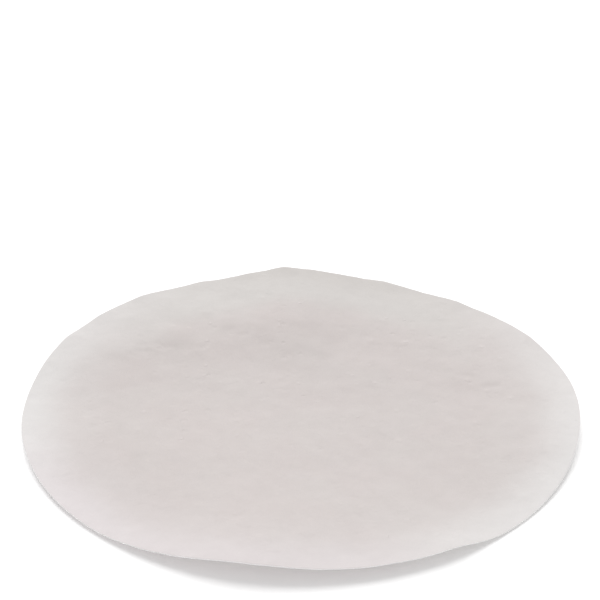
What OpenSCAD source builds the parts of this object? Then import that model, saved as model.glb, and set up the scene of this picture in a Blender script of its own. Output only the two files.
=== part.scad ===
// Filter paper disc: one round, die-cut sheet of soft white filter paper.
// The middle lies flat on the bench, and round it the border has curled up:
// the back and the front are broadly lifted, and soft flutes stand on top of
// that, each a hump that fades inwards and grows towards the cut edge.
// The origin is the centre of the flat middle's underside, and +Z is up.
// Directions run anticlockwise from +X, seen from above.

/* [Sheet] */
// Diameter that the sheet is cut to
disc_d = 110; // [70:5:185]
// Thickness of the paper
paper_t = 0.2; // [0.15:0.01:0.4]

/* [Curl] */
// Diameter of the middle that lies flat all round
flat_d = 22; // [10:1:60]
// Height to which the front, the highest stretch of the cut edge, is lifted
lift_h = 3.2; // [0.5:0.1:5]

/* [Facets] */
// Facets round the cut edge
sectors = 120; // [60:12:168]
// Rings of facets across the border
rings = 14; // [6:1:15]

/* [Hidden] */

disc_r = disc_d / 2;
flat_r = flat_d / 2;
border_w = disc_r - flat_r;

// One row for each lift of the border: the direction it points in and its half width round the edge, in
// degrees, its height as a share of lift_h, and where across the border it turns up and levels off, as
// shares of border_w. Past 1 it would level off beyond the cut edge, so it still rises there. Lifts add
// up, and the two at the front make 1.
flutes = [
    [105, 69, 0.46, 0.13, 0.57],  // the whole back, broad and low
    [262, 61, 0.33, 0.15, 0.62],  // the whole front, broad and low
    [ 32, 21, 0.37, 0.33, 1.30],  // right, towards the back
    [ 51, 21, 0.10, 0.36, 0.60],  // slight, between the right and the back
    [ 92, 20, 0.42, 0.00, 0.60],  // ridge at the back, which starts nearest the centre
    [132, 20, 0.37, 0.17, 1.10],  // back left
    [156, 28, 0.61, 0.41, 1.10],  // left, towards the back
    [197, 30, 0.30, 0.23, 1.10],  // left
    [262, 34, 0.67, 0.41, 0.90],  // front
    [294, 23, 0.45, 0.27, 1.10],  // front right
    [358, 43, 0.74, 0.45, 1.25],  // right
];

// Angle between two directions, the short way round
function turn(a, b) = abs((a - b + 540) % 360 - 180);

// Round the edge a flute is a cosine hump: 1 on its crest, 0 at its half width and beyond
function crest(away, half_width) = away < half_width ? (1 + cos(180 * away / half_width)) / 2 : 0;

// A soft step: 0 at 0 and below, 1 at 1 and above, and level at both ends
function ease(t) = let (s = min(1, max(0, t))) s * s * (3 - 2 * s);

// Across the border a flute rises from 0 where it turns up to 1 at the cut edge
function rise(t, start, level) = ease((t - start) / (level - start)) / ease((1 - start) / (level - start));

// Sum of a list of numbers
function sum(v) = v * [for (i = v) 1];

// Height of the underside above the bench at radius r in direction a
function lift(r, a) = lift_h * sum([
    for (f = flutes) f[2] * crest(turn(a, f[0]), f[1]) * rise((r - flat_r) / border_w, f[3], f[4])
]);

// The corners of one ring, at radius r, with the paper's face z above the bench where nothing lifts it
function ring_points(r, z) = [
    for (j = [0:sectors - 1]) let (a = 360 * j / sectors) [r * cos(a), r * sin(a), z + lift(r, a)]
];

// The corners of one face of the border, ring by ring from the flat middle out to the cut edge
function face_points(z) = [
    for (i = [0:rings]) each ring_points(flat_r + border_w * i / rings, z)
];

// The flat middle: a slice of paper with the same corners as the border's inner ring
module middle() {
    linear_extrude(paper_t) polygon([for (p = ring_points(flat_r, 0)) [p.x, p.y]]);
}

// The curled border: an underside and a top, closed by the cut edge outside and a wall inside
module border() {
    per_face = (rings + 1) * sectors;
    function under(i, j) = i * sectors + j % sectors;
    function over(i, j) = per_face + under(i, j);
    polyhedron(
        points = concat(face_points(0), face_points(paper_t)),
        faces = concat(
            [for (i = [0:rings - 1], j = [0:sectors - 1]) each [
                [under(i, j), under(i + 1, j), under(i + 1, j + 1)],
                [under(i, j), under(i + 1, j + 1), under(i, j + 1)],
                [over(i, j), over(i + 1, j + 1), over(i + 1, j)],
                [over(i, j), over(i, j + 1), over(i + 1, j + 1)],
            ]],
            [for (j = [0:sectors - 1]) each [
                [under(rings, j), over(rings, j), over(rings, j + 1)],
                [under(rings, j), over(rings, j + 1), under(rings, j + 1)],
                [under(0, j), over(0, j + 1), over(0, j)],
                [under(0, j), under(0, j + 1), over(0, j + 1)],
            ]]
        )
    );
}

// The whole sheet, one piece of paper
module filter_disc() {
    color("whitesmoke") {
        middle();
        border();
    }
}

filter_disc();
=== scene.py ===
"""A round filter paper: one die-cut sheet with a flat middle and a border curled into soft flutes."""

import math

import bmesh
import bpy
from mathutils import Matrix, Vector


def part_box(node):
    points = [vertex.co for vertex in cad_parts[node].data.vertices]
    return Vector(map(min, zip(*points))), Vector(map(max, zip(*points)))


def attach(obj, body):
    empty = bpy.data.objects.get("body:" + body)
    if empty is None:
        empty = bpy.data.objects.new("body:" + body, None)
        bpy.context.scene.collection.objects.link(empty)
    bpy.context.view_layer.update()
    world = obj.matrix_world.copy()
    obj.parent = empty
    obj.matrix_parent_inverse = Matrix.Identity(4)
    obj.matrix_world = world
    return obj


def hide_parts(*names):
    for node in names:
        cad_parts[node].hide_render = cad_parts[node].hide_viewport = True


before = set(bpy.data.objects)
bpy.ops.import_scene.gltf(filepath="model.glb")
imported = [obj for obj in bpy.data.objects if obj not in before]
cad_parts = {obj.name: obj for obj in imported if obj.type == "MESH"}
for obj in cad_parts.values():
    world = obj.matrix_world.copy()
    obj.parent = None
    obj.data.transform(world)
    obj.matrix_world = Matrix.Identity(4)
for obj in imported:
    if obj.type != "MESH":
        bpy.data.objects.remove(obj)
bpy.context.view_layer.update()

# ---------------------------------------------------------------- sizes, in metres

MM = 0.001

sheet_low, sheet_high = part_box("filter_disc")
DISC_R = (sheet_high.x - sheet_low.x) / 2
PAPER_T = 0.2 * MM

# The blank
RIM_POINTS = 840            # points round the cut edge, a multiple of 4
RIM_MARGIN = 0.03 * MM      # how far the blank stays inside the frame's edge, so that every point meets it
START_DROP = 2 * MM         # how far below the frame the blank starts
RIM_HOLD = 2 * MM           # width of the strip that smoothing leaves more and more alone, up to the cut edge
SMOOTH_BY = 0.5             # how far one pass of smoothing moves a point to the middle of its neighbours
EVEN_PASSES = 40            # passes that even out the blank's squares
FACET_PASSES = 60           # passes that round off the frame's facets

# The cut edge
EDGE_ROUND = 0.04 * MM      # how far the die has rounded each of its two corners
EDGE_STEPS = 2              # faces across each rounding
CORNER_ANGLE = 60           # a bend of more than this is a corner, in degrees
SMOOTH_ANGLE = 50           # faces that meet at less than this shade as one surface, in degrees

# What handling has done to the cut edge: direction in degrees from +X, rise, and reach of the pull.
# Corners are crisp, swells are soft.
CORNERS = [
    (28, 0.15 * MM, 4 * MM),
    (51, 0.30 * MM, 4 * MM),
    (60, -0.30 * MM, 5 * MM),
    (70, 0.35 * MM, 4 * MM),
    (83, -0.15 * MM, 8 * MM),
    (94, 0.40 * MM, 4 * MM),
    (105, -0.15 * MM, 8 * MM),
    (114, 0.25 * MM, 4 * MM),
    (122, -0.15 * MM, 4 * MM),
    (130, 0.20 * MM, 4 * MM),
    (142, 0.15 * MM, 4 * MM),
    (154, 0.30 * MM, 4 * MM),
]
SWELLS = [
    (200, 0.20 * MM, 9 * MM),
    (220, 0.15 * MM, 9 * MM),
    (256, 0.20 * MM, 8 * MM),
    (300, 0.25 * MM, 6 * MM),
    (310, -0.20 * MM, 6 * MM),
    (336, -0.20 * MM, 8 * MM),
]

# Shallow ridges and troughs pressed into the sheet: start, end, rise, and reach to each side
CREASES = [
    ((-38 * MM, 22 * MM), (-28 * MM, 26 * MM), 0.35 * MM, 6 * MM),
    ((-36 * MM, 32 * MM), (-26 * MM, 26 * MM), 0.20 * MM, 5 * MM),
    ((-20 * MM, 38 * MM), (-9 * MM, 32 * MM), 0.34 * MM, 7 * MM),
    ((-16 * MM, 31 * MM), (3 * MM, 23 * MM), 0.24 * MM, 5 * MM),
    ((-1 * MM, 31 * MM), (5 * MM, 29 * MM), 0.12 * MM, 5 * MM),
    ((8 * MM, 32 * MM), (13 * MM, 34 * MM), 0.12 * MM, 5 * MM),
    ((-19 * MM, 21 * MM), (-4 * MM, 16 * MM), -0.18 * MM, 5 * MM),
    ((-26 * MM, 17 * MM), (4 * MM, 11 * MM), -0.14 * MM, 6 * MM),
    ((9 * MM, 23 * MM), (20 * MM, 21 * MM), -0.15 * MM, 5 * MM),
    ((26 * MM, 17 * MM), (34 * MM, 13 * MM), 0.14 * MM, 4 * MM),
    ((33 * MM, 6 * MM), (43 * MM, 1 * MM), -0.20 * MM, 5 * MM),
    ((10 * MM, 8 * MM), (14 * MM, 9 * MM), 0.08 * MM, 3 * MM),
    ((-15 * MM, 8 * MM), (-3 * MM, 3 * MM), 0.08 * MM, 6 * MM),
    ((-29 * MM, 8 * MM), (-18 * MM, 6 * MM), -0.14 * MM, 6 * MM),
    ((-28 * MM, -17 * MM), (8 * MM, -17 * MM), 0.12 * MM, 6 * MM),
]

# Small dents and knots, each short: start, end, rise, and reach to each side
DENTS = [
    ((-34 * MM, 20.3 * MM), (-32 * MM, 20.5 * MM), -0.16 * MM, 1.2 * MM),
    ((-35.5 * MM, 19 * MM), (-34.5 * MM, 19 * MM), -0.10 * MM, 1 * MM),
    ((-33.5 * MM, 22.5 * MM), (-32.5 * MM, 22.5 * MM), -0.09 * MM, 1 * MM),
    ((-29 * MM, 22.4 * MM), (-26.5 * MM, 22.2 * MM), -0.09 * MM, 1 * MM),
    ((-21.5 * MM, 22.6 * MM), (-20.5 * MM, 22.6 * MM), -0.10 * MM, 1 * MM),
    ((-20.5 * MM, 36 * MM), (-20 * MM, 36 * MM), 0.10 * MM, 1.2 * MM),
    ((-15 * MM, 28.6 * MM), (-11 * MM, 29.2 * MM), -0.12 * MM, 2.2 * MM),
    ((-13 * MM, 27.2 * MM), (-11.4 * MM, 27.2 * MM), -0.15 * MM, 1.1 * MM),
    ((-8 * MM, 24 * MM), (-7 * MM, 24 * MM), -0.11 * MM, 1.1 * MM),
    ((-3.4 * MM, 19.8 * MM), (-2.8 * MM, 20.2 * MM), -0.10 * MM, 0.9 * MM),
    ((-14.5 * MM, 13 * MM), (-13.5 * MM, 13 * MM), 0.09 * MM, 1.3 * MM),
    ((-20.5 * MM, 10.6 * MM), (-20 * MM, 10.8 * MM), -0.09 * MM, 0.9 * MM),
    ((-26.2 * MM, 11 * MM), (-25.8 * MM, 10.8 * MM), -0.08 * MM, 0.9 * MM),
    ((-4 * MM, 11.6 * MM), (-1 * MM, 10.4 * MM), 0.09 * MM, 1.1 * MM),
    ((-4 * MM, 8.4 * MM), (-2 * MM, 9.4 * MM), 0.09 * MM, 1 * MM),
    ((-7 * MM, 2.4 * MM), (-4 * MM, 1 * MM), 0.07 * MM, 1.1 * MM),
    ((8.6 * MM, 30.8 * MM), (9.4 * MM, 30.8 * MM), -0.11 * MM, 1.1 * MM),
    ((7.8 * MM, 34.6 * MM), (8.4 * MM, 34.8 * MM), 0.09 * MM, 1 * MM),
    ((13.6 * MM, 28 * MM), (14.4 * MM, 28 * MM), -0.11 * MM, 1.5 * MM),
    ((15.4 * MM, 24.8 * MM), (16.4 * MM, 24.8 * MM), -0.09 * MM, 0.9 * MM),
    ((15.6 * MM, 27 * MM), (16.2 * MM, 27 * MM), -0.08 * MM, 0.9 * MM),
    ((19.8 * MM, 23.8 * MM), (21 * MM, 23.8 * MM), -0.09 * MM, 0.9 * MM),
    ((22.2 * MM, 26.4 * MM), (22.8 * MM, 26.4 * MM), -0.10 * MM, 1.1 * MM),
    ((11.6 * MM, 17.8 * MM), (12.4 * MM, 17.8 * MM), -0.11 * MM, 1 * MM),
    ((15.4 * MM, 16.2 * MM), (16 * MM, 16.2 * MM), -0.11 * MM, 1.1 * MM),
    ((13.8 * MM, 8 * MM), (14.6 * MM, 8 * MM), -0.09 * MM, 1 * MM),
    ((25.6 * MM, 22.4 * MM), (26.2 * MM, 22.6 * MM), -0.09 * MM, 1 * MM),
    ((29.6 * MM, 14.8 * MM), (31.4 * MM, 14.8 * MM), 0.08 * MM, 1 * MM),
    ((32.4 * MM, 12.2 * MM), (35.4 * MM, 11.9 * MM), -0.10 * MM, 1.1 * MM),
    ((35.8 * MM, 14 * MM), (36.2 * MM, 14 * MM), -0.09 * MM, 1 * MM),
    ((37.6 * MM, 7.8 * MM), (40.4 * MM, 7.8 * MM), -0.20 * MM, 1.2 * MM),
    ((41 * MM, 9 * MM), (41.6 * MM, 9.2 * MM), -0.10 * MM, 1 * MM),
]
GRIP = 0.4 * MM             # half width of what a pull takes hold of

# Soft unevenness all over: name, length of a wave, height, and how many finer sizes of wave ride on it
UNEVENNESS = [
    ("slow_waves", 12 * MM, 0.30 * MM, 1),
    ("waves", 4.5 * MM, 0.22 * MM, 1),
    ("felt_marks", 2.6 * MM, 0.050 * MM, 2),
]

# ---------------------------------------------------------------- small helpers


def deselect_all():
    """Clears the selection, because an operator acts on all that is selected."""
    bpy.ops.object.select_all(action="DESELECT")


def make_active(piece):
    """Selects one piece alone."""
    deselect_all()
    piece.select_set(True)
    bpy.context.view_layer.objects.active = piece


def add_modifier(piece, kind, **settings):
    """Adds a modifier with these settings and applies it."""
    make_active(piece)
    modifier = piece.modifiers.new(kind.lower(), kind)
    for name, value in settings.items():
        setattr(modifier, name, value)
    bpy.ops.object.modifier_apply(modifier=modifier.name)


def smooth_step(value, low, high):
    """0 at low, 1 at high, with a soft start and end."""
    share = min(1.0, max(0.0, (value - low) / (high - low)))
    return share * share * (3 - 2 * share)


def weigh(piece, name, weight_at):
    """Gives a piece a vertex group whose weight at each point is weight_at(point)."""
    group = piece.vertex_groups.new(name=name)
    for vertex in piece.data.vertices:
        group.add([vertex.index], weight_at(vertex.co), "REPLACE")


# ---------------------------------------------------------------- the sheet


def lay_out_blank():
    """A flat round blank of even squares, just under the frame."""
    deselect_all()
    bpy.ops.mesh.primitive_circle_add(
        vertices=RIM_POINTS, radius=DISC_R - RIM_MARGIN, fill_type="NOTHING", location=(0, 0, -START_DROP)
    )
    sheet = bpy.context.object
    sheet.name = "filter_sheet"
    bpy.ops.object.mode_set(mode="EDIT")
    bpy.ops.mesh.select_all(action="SELECT")
    bpy.ops.mesh.fill_grid(span=RIM_POINTS // 4)
    bpy.ops.mesh.select_all(action="SELECT")
    bpy.ops.mesh.region_to_loop()
    bpy.ops.mesh.select_all(action="INVERT")
    bpy.ops.mesh.vertices_smooth(factor=SMOOTH_BY, repeat=EVEN_PASSES)
    bpy.ops.object.mode_set(mode="OBJECT")
    bpy.ops.object.transform_apply(location=True, rotation=True, scale=True)
    return sheet


def curl(sheet):
    """Lifts the blank onto the underside of the frame's sheet, and rounds off its facets."""
    add_modifier(
        sheet, "SHRINKWRAP", target=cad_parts["filter_disc"], wrap_method="PROJECT",
        use_project_z=True, use_positive_direction=True, use_negative_direction=False,
    )
    weigh(sheet, "inside_the_rim", lambda point: smooth_step(DISC_R - point.xy.length, 0, RIM_HOLD))
    add_modifier(
        sheet, "SMOOTH", vertex_group="inside_the_rim", factor=SMOOTH_BY, iterations=FACET_PASSES,
        use_x=False, use_y=False,
    )


def near_line(point, start, end):
    """True if a point is within a grip of the line from start to end, seen from above."""
    along = end - start
    share = 0 if along.length == 0 else min(1, max(0, (point - start).dot(along) / along.length_squared))
    return (point - start - share * along).length < GRIP


def pull(sheet, start, end, rise, reach, falloff="SMOOTH"):
    """Lifts the sheet along a line, fading to nothing at reach, as a finger slid under it would."""
    start, end = Vector(start), Vector(end)
    bpy.ops.mesh.select_all(action="DESELECT")
    mesh = bmesh.from_edit_mesh(sheet.data)
    for vertex in mesh.verts:
        vertex.select_set(near_line(vertex.co.xy, start, end))
    mesh.select_flush(False)
    bmesh.update_edit_mesh(sheet.data)
    bpy.ops.transform.translate(
        value=(0, 0, rise), use_proportional_edit=True, proportional_edit_falloff=falloff,
        proportional_size=reach,
    )


def handle(sheet):
    """Gives the sheet the corners, swells, creases and dents that handling has left."""
    make_active(sheet)
    bpy.ops.object.mode_set(mode="EDIT")
    for falloff, edge_pulls in (("LINEAR", CORNERS), ("SMOOTH", SWELLS)):
        for direction, rise, reach in edge_pulls:
            angle = math.radians(direction)
            spot = ((DISC_R - RIM_MARGIN) * math.cos(angle), (DISC_R - RIM_MARGIN) * math.sin(angle))
            pull(sheet, spot, spot, rise, reach, falloff)
    for start, end, rise, reach in CREASES + DENTS:
        pull(sheet, start, end, rise, reach)
    bpy.ops.object.mode_set(mode="OBJECT")


def roughen(sheet, name, wave, height, finer):
    """Lifts and lowers the sheet in soft clouds about a wave wide, by up to half the height each way."""
    clouds = bpy.data.textures.new(name, "CLOUDS")
    clouds.noise_scale = wave
    clouds.noise_depth = finer
    clouds.noise_basis = "IMPROVED_PERLIN"
    add_modifier(
        sheet, "DISPLACE", texture=clouds, texture_coords="LOCAL", direction="Z", strength=height,
        mid_level=0.5,
    )
    bpy.data.textures.remove(clouds)


def settle(sheet):
    """Sets the sheet's lowest point on the bench."""
    make_active(sheet)
    lowest = min(vertex.co.z for vertex in sheet.data.vertices)
    bpy.ops.object.mode_set(mode="EDIT")
    bpy.ops.mesh.select_all(action="SELECT")
    bpy.ops.transform.translate(value=(0, 0, -lowest))
    bpy.ops.object.mode_set(mode="OBJECT")


def make_sheet(face_finish, edge_finish):
    """The whole sheet. It has both finishes before it gets its rim, which takes the second of them."""
    sheet = lay_out_blank()
    sheet.data.materials.append(face_finish)
    sheet.data.materials.append(edge_finish)
    curl(sheet)
    handle(sheet)
    for name, wave, height, finer in UNEVENNESS:
        roughen(sheet, name, wave, height, finer)
    settle(sheet)
    add_modifier(
        sheet, "SOLIDIFY", thickness=PAPER_T, offset=1.0, use_even_offset=True, material_offset_rim=1,
    )
    add_modifier(
        sheet, "BEVEL", width=EDGE_ROUND, segments=EDGE_STEPS, limit_method="ANGLE",
        angle_limit=math.radians(CORNER_ANGLE),
    )
    make_active(sheet)
    bpy.ops.object.shade_smooth_by_angle(angle=math.radians(SMOOTH_ANGLE))
    sheet.vertex_groups.clear()
    return sheet


# ---------------------------------------------------------------- node helpers


def add_node(tree, kind, inputs=None, **settings):
    """Adds a node, sets its options, and fills its inputs: a socket is linked, and a value is set."""
    node = tree.nodes.new(kind)
    for name, value in settings.items():
        setattr(node, name, value)
    for name, value in (inputs or {}).items():
        socket = node.inputs[name]
        if isinstance(value, bpy.types.NodeSocket):
            tree.links.new(value, socket)
        else:
            socket.default_value = value
    return node


def maths(tree, operation, first, second=0.0, third=0.0):
    """One Math node's result."""
    return add_node(tree, "ShaderNodeMath", {0: first, 1: second, 2: third}, operation=operation).outputs[0]


def vector_maths(tree, operation, first, second=(0, 0, 0)):
    """One Vector Math node, for an operation on one or two vectors. Returns its outputs."""
    return add_node(tree, "ShaderNodeVectorMath", {0: first, 1: second}, operation=operation).outputs


def stretch(tree, value, low, high, to_low=0.0, to_high=1.0, kind="SMOOTHSTEP"):
    """A value taken from the range low..high to the range to_low..to_high, and held there."""
    inputs = {"Value": value, "From Min": low, "From Max": high, "To Min": to_low, "To Max": to_high}
    return add_node(tree, "ShaderNodeMapRange", inputs, interpolation_type=kind).outputs["Result"]


def noise(tree, place, scale, detail, dimensions="3D", **more):
    """One Noise node. Returns its outputs."""
    inputs = {"Vector": place, "Scale": scale, "Detail": detail, **more}
    return add_node(tree, "ShaderNodeTexNoise", inputs, noise_dimensions=dimensions).outputs


def blend_colours(tree, share, first, second, blend_type="MIX"):
    """One colour Mix node's result. A share of 0 is the first colour."""
    inputs = {0: share, 6: first, 7: second}
    return add_node(tree, "ShaderNodeMix", inputs, data_type="RGBA", blend_type=blend_type).outputs[2]


def add_shares(tree, total, effects, shares):
    """A total to which each named effect adds its share."""
    for name, share in shares.items():
        total = maths(tree, "MULTIPLY_ADD", effects[name], share, total)
    return total


def new_group(name, inputs, outputs):
    """An empty shader node group with float inputs, a vector input named Place, and float outputs."""
    group = bpy.data.node_groups.new(name, "ShaderNodeTree")
    group.interface.new_socket("Place", in_out="INPUT", socket_type="NodeSocketVector")
    for label in inputs:
        group.interface.new_socket(label, in_out="INPUT", socket_type="NodeSocketFloat")
    for label in outputs:
        group.interface.new_socket(label, in_out="OUTPUT", socket_type="NodeSocketFloat")
    return group, group.nodes.new("NodeGroupInput").outputs, group.nodes.new("NodeGroupOutput").inputs


def place_group(tree, group, inputs):
    """A group in a material, with its own values. Returns its outputs."""
    return add_node(tree, "ShaderNodeGroup", inputs, node_tree=group).outputs


# ---------------------------------------------------------------- effects

# Fibres lie in layers, each turned and moved on from the one before it
FIBRE_LAYERS = 4
FIBRE_DIRECTION = 10            # of the first layer, in degrees
FIBRE_TURN = 47
FIBRE_SHIFT = (13 * MM, 7 * MM)
FIBRE_BENDS = 900.0             # bends per metre, and how far they reach
FIBRE_SWAY = 0.7 * MM

# Pits differ from cell to cell, by their radius as a share of the cell and by their height. Each cell draws
# a number from 0 to 1. A pit is pressed in whole up to the first of the pressed chances, and not at all past
# the second. It isn't raised up to the first of the raised chances, and is raised whole past the second.
PIT_RADIUS = (0.13, 0.29)
PRESSED_CHANCES = (0.10, 0.50)
RAISED_CHANCES = (0.55, 0.95)
PIT_BENDS = 1400.0
PIT_SWAY = 0.5 * MM

# The part of a pattern's range over which an effect comes in or fades away
FIBRE_CREST = (0.52, 0.72)
KNOT_TAIL = (0.58, 0.80)
DENT_TAIL = (0.20, 0.42)
KNOT_CLUSTER = (0.42, 0.62)
PIT_CLUSTER = (0.40, 0.60)
WRINKLE_PATCH = (0.58, 0.74)
WRINKLE_WIDTH = 0.10            # to each side of the middle of the range
BETWEEN_CLUSTERS = 0.25         # how much is left of knots and pits there


def formation_group():
    """The cloudy look of a sheet whose fibres lie thicker in some places than in others."""
    group, given, result = new_group("formation", ["Clouds per metre"], ["Cloud"])
    cloud = noise(group, given["Place"], given["Clouds per metre"], 3.0, Roughness=0.55)["Fac"]
    group.links.new(cloud, result["Cloud"])
    return group


def sway_place(tree, place, bends, reach):
    """The place, moved by up to half the reach in soft bends, so that what is drawn on it isn't even."""
    bend = noise(tree, place, bends, 1.0)["Color"]
    centred = vector_maths(tree, "SUBTRACT", bend, (0.5, 0.5, 0.5))[0]
    sway = add_node(tree, "ShaderNodeVectorMath", {0: centred, "Scale": reach}, operation="SCALE")
    return vector_maths(tree, "ADD", place, sway.outputs[0])[0]


def fibre_group():
    """Fine curved fibres that lie across each other in every direction."""
    group, given, result = new_group("fibres", ["Fibres per metre", "Length"], ["Height"])
    swayed = sway_place(group, given["Place"], FIBRE_BENDS, FIBRE_SWAY)
    height = None
    for layer in range(FIBRE_LAYERS):
        turned = add_node(group, "ShaderNodeMapping", {
            "Vector": swayed, "Location": (FIBRE_SHIFT[0] * layer, FIBRE_SHIFT[1] * layer, 0),
            "Rotation": (0, 0, math.radians(FIBRE_DIRECTION + FIBRE_TURN * layer)),
        }).outputs[0]
        squash = add_node(group, "ShaderNodeCombineXYZ", {"X": given["Length"], "Y": 1.0, "Z": 1.0}).outputs
        drawn = vector_maths(group, "MULTIPLY", turned, squash[0])[0]
        strand = noise(group, drawn, given["Fibres per metre"], 0.0)["Fac"]
        crest = stretch(group, strand, *FIBRE_CREST)
        height = crest if height is None else maths(group, "MAXIMUM", height, crest)
    group.links.new(height, result["Height"])
    return group


def cluster_share(group, given, cluster_range):
    """1 in loose clusters, and less between them."""
    cluster = noise(group, given["Place"], given["Clusters per metre"], 1.0, "2D")["Fac"]
    return stretch(group, cluster, *cluster_range, BETWEEN_CLUSTERS, 1.0)


def knot_group():
    """Soft knots and dents in the felt, thrown up in loose clusters: the tails of one uneven pattern."""
    group, given, result = new_group("knots", ["Knots per metre", "Clusters per metre"], ["Knot", "Dent"])
    uneven = noise(
        group, given["Place"], given["Knots per metre"], 1.5, "2D", Roughness=0.45, Distortion=0.4
    )["Fac"]
    kept = cluster_share(group, given, KNOT_CLUSTER)
    knot = stretch(group, uneven, *KNOT_TAIL)
    dent = stretch(group, uneven, *DENT_TAIL, 1.0, 0.0)
    group.links.new(maths(group, "MULTIPLY", knot, kept), result["Knot"])
    group.links.new(maths(group, "MULTIPLY", dent, kept), result["Dent"])
    return group


def pit_group():
    """Round marks about a millimetre across, one to a cell. Most are pressed in, and a few stand up."""
    group, given, result = new_group("pits", ["Cells per metre", "Clusters per metre"], ["Height"])
    swayed = sway_place(group, given["Place"], PIT_BENDS, PIT_SWAY)
    cell = add_node(group, "ShaderNodeTexVoronoi", {
        "Vector": swayed, "Scale": given["Cells per metre"], "Randomness": 1.0,
    }, voronoi_dimensions="2D", feature="F1").outputs
    chance = add_node(group, "ShaderNodeSeparateColor", {0: cell["Color"]}).outputs
    radius = stretch(group, chance[1], 0.0, 1.0, *PIT_RADIUS, kind="LINEAR")
    spot = stretch(group, cell["Distance"], 0.0, radius, 1.0, 0.0)
    raised = stretch(group, chance[0], *RAISED_CHANCES, 0.0, 1.0, kind="LINEAR")
    pressed = stretch(group, chance[0], *PRESSED_CHANCES, -1.0, 0.0, kind="LINEAR")
    height = maths(group, "MULTIPLY", spot, maths(group, "ADD", raised, pressed))
    kept = cluster_share(group, given, PIT_CLUSTER)
    group.links.new(maths(group, "MULTIPLY", height, kept), result["Height"])
    return group


def wrinkle_group():
    """Short soft wrinkles: the crests of one wavy pattern, kept only where a finer one is high."""
    group, given, result = new_group("wrinkles", ["Wrinkles per metre", "Patches per metre"], ["Height"])
    wave = noise(
        group, given["Place"], given["Wrinkles per metre"], 1.0, "2D", Roughness=0.4, Distortion=0.5
    )["Fac"]
    patch = noise(group, given["Place"], given["Patches per metre"], 1.0, "2D")["Fac"]
    off_crest = maths(group, "ABSOLUTE", maths(group, "SUBTRACT", wave, 0.5))
    crest = stretch(group, off_crest, 0.0, WRINKLE_WIDTH, 1.0, 0.0)
    kept = stretch(group, patch, *WRINKLE_PATCH)
    group.links.new(maths(group, "MULTIPLY", crest, kept), result["Height"])
    return group


# ---------------------------------------------------------------- finishes

PAPER_WARM = (0.645, 0.592, 0.577, 1)
PAPER_COOL = (0.641, 0.594, 0.578, 1)
PAPER_BACK = (0.631, 0.600, 0.577, 1)       # less pink, towards the cut edge at the back
PAINTED_GLOW = (0.770, 0.749, 0.739, 1)     # painted light: the glow of light coming through where the sheet stands off the bench
PAINTED_GLOW_FRONT = (0.788, 0.737, 0.747, 1)      # the same painted glow at the front, where it is pinker

# The sheet is painted paler in two steps, a painted glow of light coming through the border: a slight one all
# round, and a strong one near the cut edge
SLIGHT_PALE_FROM = 19 * MM                  # where each step starts and ends, measured in from the cut edge
SLIGHT_PALE_TO = 10 * MM
SLIGHT_PALE = 0.16
SLIGHT_PALE_AT_BACK = 0.06                  # how much stronger the first step is at the back,
SLIGHT_PALE_AT_RIGHT = -0.05                # and to the right
EDGE_PALE_FROM = 11.5 * MM
PALE_WANDER = 4 * MM                        # how far in all the two steps wander in and out

# How strong the second step is, by direction: less at the back, more at the sides
EDGE_PALE = 0.46
PALE_AT_BACK = -0.34
PALE_AT_SIDES = 0.31
PALE_ASKEW = -0.19

# Where the border's hue is another one: the middle of that stretch, and how far to each side it is
# whole and reaches, all in degrees
LESS_PINK = (90, 25, 65)
PINKER = (245, 20, 60)

# Broad spots of painted shade and painted light on the faces: centre, reach along X and along Y, and how much
# paler
PAINTED_SHADE_AND_LIGHT_SPOTS = [
    ((7 * MM, 12 * MM), (40 * MM, 19 * MM), -0.02),
    ((-14 * MM, -8 * MM), (36 * MM, 17 * MM), 0.02),
]

# The back has been handled more than the front, so its marks are deeper
HANDLED_FROM = -25 * MM
HANDLED_TO = 10 * MM
HANDLED_LEAST = 0.45

# The pale border stands off whatever the sheet lies on, so it has hardly any marks. These are shares of the
# border's painted glow.
PRESSED_UP_TO = 0.10
SPARED_FROM = 0.35
SPARED_LEAST = 0.2

# How formation and patches change the faces, and what each effect adds to their shade and, in
# millimetres, to their height
FORMATION_RANGE = (0.2, 0.8)                # the part of the pattern's range that is used
FACE_FORMATION = (0.976, 1.024)
TINT_RANGE = (0.35, 0.65)                   # patches go from one tint to the other over this range
PATCH_SHADE = 0.03
# Knots and raised marks are painted paler, as painted highlights, and dents are painted darker, as painted
# shade in them
FACE_SHADE = {"fibres": 0.014, "knots": 0.01, "dents": -0.02, "raised marks": 0.045}
FACE_HEIGHT = {
    "formation": 0.022, "fibres": 0.008, "knots": 0.03, "dents": -0.03, "marks": 0.105, "wrinkles": 0.015,
}
FACE_ROUGHNESS = (0.93, 0.82)               # between the fibres, and on them

# The same for the cut edge
# Partly painted light: whiter than the paper, which lifts the edge out of the shade that it stands in
CUT_WHITE_AND_PAINTED_LIGHT = (0.86, 0.845, 0.832, 1)
CUT_FORMATION = (0.92, 1.0)
CUT_SHADE = {"fibres": 0.08}
CUT_HEIGHT = {"formation": 0.03, "fibres": 0.02}
DARKER_STRETCH_RANGE = (0.58, 0.70)                 # where the cut edge is darker, in short stretches
DARKER_STRETCH_SHADE = 0.84
LIGHT_REACHES = 0.4 * MM                    # how far light comes through the fibres to the cut edge


def new_material(name):
    """A material with an unconnected Principled shader. Returns it, its tree and the shader."""
    material = bpy.data.materials.new(name)
    material.use_nodes = True
    return material, material.node_tree, material.node_tree.nodes["Principled BSDF"]


def set_shader(shader, values):
    """Sets the shader's own values, the same all over."""
    for name, value in values.items():
        shader.inputs[name].default_value = value


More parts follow.
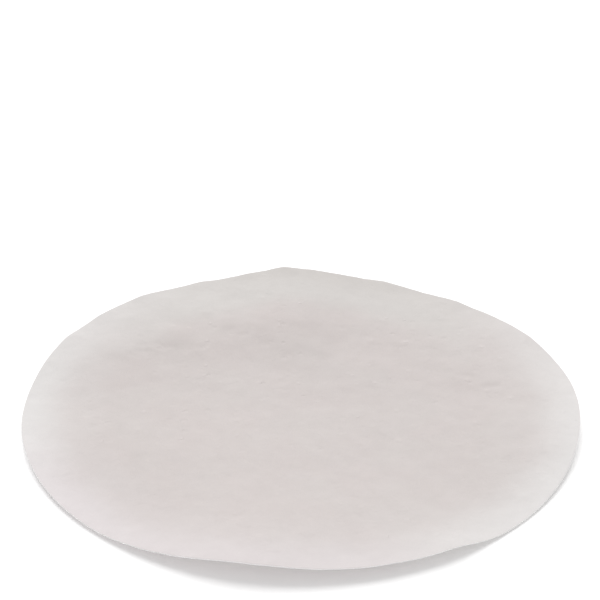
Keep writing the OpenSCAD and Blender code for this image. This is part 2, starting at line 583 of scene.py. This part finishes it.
def cover(tree, shader, colour, shade, height):
    """Covers a material in a shaded colour, with the bumps of a height in millimetres."""
    grey = add_node(tree, "ShaderNodeCombineColor", {0: shade, 1: shade, 2: shade}).outputs[0]
    tree.links.new(blend_colours(tree, 1.0, colour, grey, "MULTIPLY"), shader.inputs["Base Color"])
    bump = add_node(tree, "ShaderNodeBump", {"Height": height, "Distance": MM, "Strength": 1.0})
    tree.links.new(bump.outputs["Normal"], shader.inputs["Normal"])


def round_the_middle(tree, place, wander):
    """How far a place is from the middle, give or take a wander, and which way it lies from there."""
    flat = vector_maths(tree, "MULTIPLY", place, (1, 1, 0))[0]
    length = vector_maths(tree, "LENGTH", flat)["Value"]
    direction = vector_maths(tree, "NORMALIZE", flat)[0]
    return maths(tree, "ADD", length, wander), direction


def facing(tree, direction, stretch_of_edge):
    """1 in the middle of a stretch of the edge, and 0 past its ends."""
    middle, whole, reach = (math.radians(angle) for angle in stretch_of_edge)
    along = vector_maths(tree, "DOT_PRODUCT", direction, (math.cos(middle), math.sin(middle), 0))["Value"]
    return stretch(tree, along, math.cos(reach), math.cos(whole))


def soft_spot(tree, place, centre, reach):
    """1 at the centre, fading to 0 at its reach along X and along Y."""
    moved = vector_maths(tree, "SUBTRACT", place, (*centre, 0))[0]
    scaled = vector_maths(tree, "MULTIPLY", moved, (1 / reach[0], 1 / reach[1], 0))[0]
    away = vector_maths(tree, "LENGTH", scaled)["Value"]
    return stretch(tree, away, 0.0, 1.0, 1.0, 0.0)


def painted_glow_share(tree, radius, direction, outwards):
    """How much of the pale border's painted glow shows: 0 in the middle, and up to 1 at the cut edge."""
    part = add_node(tree, "ShaderNodeSeparateXYZ", {0: direction}).outputs
    across = maths(tree, "MULTIPLY", part[0], part[0])
    back = maths(tree, "MULTIPLY", part[1], part[1])
    strength = maths(tree, "MULTIPLY_ADD", part[1], PALE_AT_BACK, EDGE_PALE)
    strength = maths(tree, "MULTIPLY_ADD", maths(tree, "SUBTRACT", across, back), PALE_AT_SIDES, strength)
    strength = maths(tree, "MULTIPLY_ADD", maths(tree, "MULTIPLY", part[0], part[1]), PALE_ASKEW, strength)
    weak = maths(tree, "MULTIPLY_ADD", part[1], SLIGHT_PALE_AT_BACK, SLIGHT_PALE)
    weak = maths(tree, "MULTIPLY_ADD", part[0], SLIGHT_PALE_AT_RIGHT, weak)
    slight = maths(tree, "MULTIPLY", weak, outwards)
    strong = stretch(tree, radius, DISC_R - EDGE_PALE_FROM, DISC_R)
    return maths(tree, "MULTIPLY_ADD", strong, strength, slight)


def paper_face(groups):
    """The felted faces: warm grey-white, a little uneven, and painted paler towards the cut edge as light
    through it.
    """
    material, tree, shader = new_material("filter_paper")
    place = add_node(tree, "ShaderNodeTexCoord").outputs["Object"]
    cloud = place_group(tree, groups["formation"], {"Place": place, "Clouds per metre": 300.0})["Cloud"]
    patch = place_group(tree, groups["formation"], {"Place": place, "Clouds per metre": 70.0})["Cloud"]
    fibres = place_group(tree, groups["fibres"], {
        "Place": place, "Fibres per metre": 9000.0, "Length": 0.09,
    })["Height"]
    knots = place_group(tree, groups["knots"], {
        "Place": place, "Knots per metre": 360.0, "Clusters per metre": 70.0,
    })
    pits = place_group(tree, groups["pits"], {
        "Place": place, "Cells per metre": 260.0, "Clusters per metre": 60.0,
    })["Height"]
    wrinkles = place_group(tree, groups["wrinkles"], {
        "Place": place, "Wrinkles per metre": 190.0, "Patches per metre": 260.0,
    })["Height"]

    wander = maths(tree, "MULTIPLY_ADD", patch, PALE_WANDER, -PALE_WANDER / 2)
    radius, direction = round_the_middle(tree, place, wander)
    outwards = stretch(tree, radius, DISC_R - SLIGHT_PALE_FROM, DISC_R - SLIGHT_PALE_TO)
    border = painted_glow_share(tree, radius, direction, outwards)

    depth = add_node(tree, "ShaderNodeSeparateXYZ", {0: place}).outputs[1]
    handled = stretch(tree, depth, HANDLED_FROM, HANDLED_TO, HANDLED_LEAST, 1.0)
    pressed = stretch(tree, border, PRESSED_UP_TO, SPARED_FROM, 1.0, SPARED_LEAST)
    marks = maths(tree, "MULTIPLY", pits, maths(tree, "MULTIPLY", handled, pressed))
    effects = {
        "formation": cloud, "fibres": fibres, "knots": knots["Knot"], "dents": knots["Dent"], "marks": marks,
        "raised marks": maths(tree, "MAXIMUM", marks, 0.0), "wrinkles": wrinkles,
    }

    tint = blend_colours(tree, stretch(tree, patch, *TINT_RANGE), PAPER_WARM, PAPER_COOL)
    less_pink = maths(tree, "MULTIPLY", outwards, facing(tree, direction, LESS_PINK))
    tint = blend_colours(tree, less_pink, tint, PAPER_BACK)
    # Painted glow: the border's paler colour stands in for light coming through the sheet where it stands off
    # the bench
    edge = blend_colours(tree, facing(tree, direction, PINKER), PAINTED_GLOW, PAINTED_GLOW_FRONT)
    colour = blend_colours(tree, border, tint, edge)

    shade = stretch(tree, cloud, *FORMATION_RANGE, *FACE_FORMATION, kind="LINEAR")
    shade = maths(tree, "MULTIPLY_ADD", patch, PATCH_SHADE, maths(tree, "SUBTRACT", shade, PATCH_SHADE / 2))
    # Painted highlights on knots and raised marks, and painted shade in dents
    shade = add_shares(tree, shade, effects, FACE_SHADE)
    # Painted shade and painted light: broad darker and paler spots
    for centre, reach, paler in PAINTED_SHADE_AND_LIGHT_SPOTS:
        shade = maths(tree, "MULTIPLY_ADD", soft_spot(tree, place, centre, reach), paler, shade)

    cover(tree, shader, colour, shade, add_shares(tree, 0.0, effects, FACE_HEIGHT))
    roughness = stretch(tree, fibres, 0.0, 1.0, *FACE_ROUGHNESS, kind="LINEAR")
    tree.links.new(roughness, shader.inputs["Roughness"])
    set_shader(shader, {"Specular IOR Level": 0.25, "Sheen Weight": 0.12, "Sheen Roughness": 0.6})
    return material


def cut_edge(groups):
    """The cut edge, where the die has left the fibres' ends bare: rougher than the faces, and paler, partly
    by painted light.
    """
    material, tree, shader = new_material("cut_edge")
    place = add_node(tree, "ShaderNodeTexCoord").outputs["Object"]
    cloud = place_group(tree, groups["formation"], {"Place": place, "Clouds per metre": 1500.0})["Cloud"]
    fibres = place_group(tree, groups["fibres"], {
        "Place": place, "Fibres per metre": 14000.0, "Length": 0.3,
    })["Height"]
    darker_stretches = place_group(tree, groups["formation"], {"Place": place, "Clouds per metre": 420.0})["Cloud"]
    effects = {"formation": cloud, "fibres": fibres}
    shade = stretch(tree, cloud, *FORMATION_RANGE, *CUT_FORMATION, kind="LINEAR")
    shade = add_shares(tree, shade, effects, CUT_SHADE)
    shade = maths(tree, "MULTIPLY", shade, stretch(tree, darker_stretches, *DARKER_STRETCH_RANGE, 1.0, DARKER_STRETCH_SHADE))
    cover(tree, shader, CUT_WHITE_AND_PAINTED_LIGHT, shade, add_shares(tree, 0.0, effects, CUT_HEIGHT))
    set_shader(shader, {
        "Roughness": 0.95, "Specular IOR Level": 0.2, "Subsurface Weight": 1.0,
        "Subsurface Radius": (1, 1, 1), "Subsurface Scale": LIGHT_REACHES,
    })
    return material


def glowing_white(name, colour, glow):
    """A plain matt white that gives off a little light."""
    material, _, shader = new_material(name)
    set_shader(shader, {
        "Base Color": colour, "Roughness": 0.9, "Emission Color": colour, "Emission Strength": glow,
    })
    return material


# ---------------------------------------------------------------- floor, light and camera

FLOOR_SIZE = 8                  # in metres
FLOOR_GAP = 0.02 * MM           # keeps the floor just clear of the sheet's underside
FLOOR_WHITE = (0.97, 0.97, 0.97, 1)
FLOOR_GLOW = 0.18               # the bench is a light table, which softens the shadow under the border

FILL_STRENGTH = 0.52
BACKDROP_STRENGTH = 1.0         # the surroundings where they show past the floor
KEY_ANGLE = 55                  # apparent width of the softbox, in degrees
KEY_STRENGTH = 1.95
KEY_AZIMUTH = 98                # direction that it stands in, in degrees from +X
KEY_ELEVATION = 57              # degrees above the horizon

LENS = 100                      # millimetres, on a 36 mm sensor
CAMERA_ELEVATION = 28.76        # degrees above the horizon
CAMERA_DISTANCE = 320.4 * MM
CAMERA_AIM = (-0.1 * MM, 0, 25.0 * MM)
CAMERA_NEAR = 10 * MM           # closest thing that the camera sees


def make_floor():
    """A wide white bench top, which isn't part of the sheet."""
    deselect_all()
    bpy.ops.mesh.primitive_plane_add(size=FLOOR_SIZE, location=(0, 0, -FLOOR_GAP))
    floor = bpy.context.object
    floor.name = "floor"
    bpy.ops.object.transform_apply(location=True, rotation=True, scale=True)
    floor.data.materials.append(glowing_white("floor_white", FLOOR_WHITE, FLOOR_GLOW))


def light_surroundings():
    """Even white surroundings, which fill the shadows."""
    world = bpy.data.worlds.new("studio")
    bpy.context.scene.world = world
    world.use_nodes = True
    tree = world.node_tree
    background = tree.nodes["Background"]
    background.inputs["Color"].default_value = (1, 1, 1, 1)
    seen = add_node(tree, "ShaderNodeLightPath").outputs["Is Camera Ray"]
    strength = stretch(tree, seen, 0.0, 1.0, FILL_STRENGTH, BACKDROP_STRENGTH, kind="LINEAR")
    tree.links.new(strength, background.inputs["Strength"])


def light_key():
    """One wide softbox behind the sheet."""
    azimuth, elevation = math.radians(KEY_AZIMUTH), math.radians(KEY_ELEVATION)
    level = math.cos(elevation)
    towards = Vector((math.cos(azimuth) * level, math.sin(azimuth) * level, math.sin(elevation)))
    deselect_all()
    bpy.ops.object.light_add(type="SUN", location=towards)
    key = bpy.context.object
    key.name = "softbox"
    key.data.energy = KEY_STRENGTH
    key.data.angle = math.radians(KEY_ANGLE)
    key.rotation_euler = (-towards).to_track_quat("-Z", "Y").to_euler()


def place_camera():
    """A long lens in front of the sheet, a little above it."""
    elevation = math.radians(CAMERA_ELEVATION)
    back = Vector((0, -math.cos(elevation), math.sin(elevation)))
    deselect_all()
    bpy.ops.object.camera_add(location=Vector(CAMERA_AIM) + CAMERA_DISTANCE * back)
    camera = bpy.context.object
    camera.data.lens = LENS
    camera.data.clip_start = CAMERA_NEAR
    camera.rotation_euler = (-back).to_track_quat("-Z", "Y").to_euler()
    bpy.context.scene.camera = camera


# ---------------------------------------------------------------- the scene

groups = {
    "formation": formation_group(),
    "fibres": fibre_group(),
    "knots": knot_group(),
    "pits": pit_group(),
    "wrinkles": wrinkle_group(),
}

sheet = make_sheet(paper_face(groups), cut_edge(groups))
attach(sheet, "root")
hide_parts("filter_disc")

make_floor()
light_surroundings()
light_key()
place_camera()
bpy.context.scene.view_settings.view_transform = "Standard"
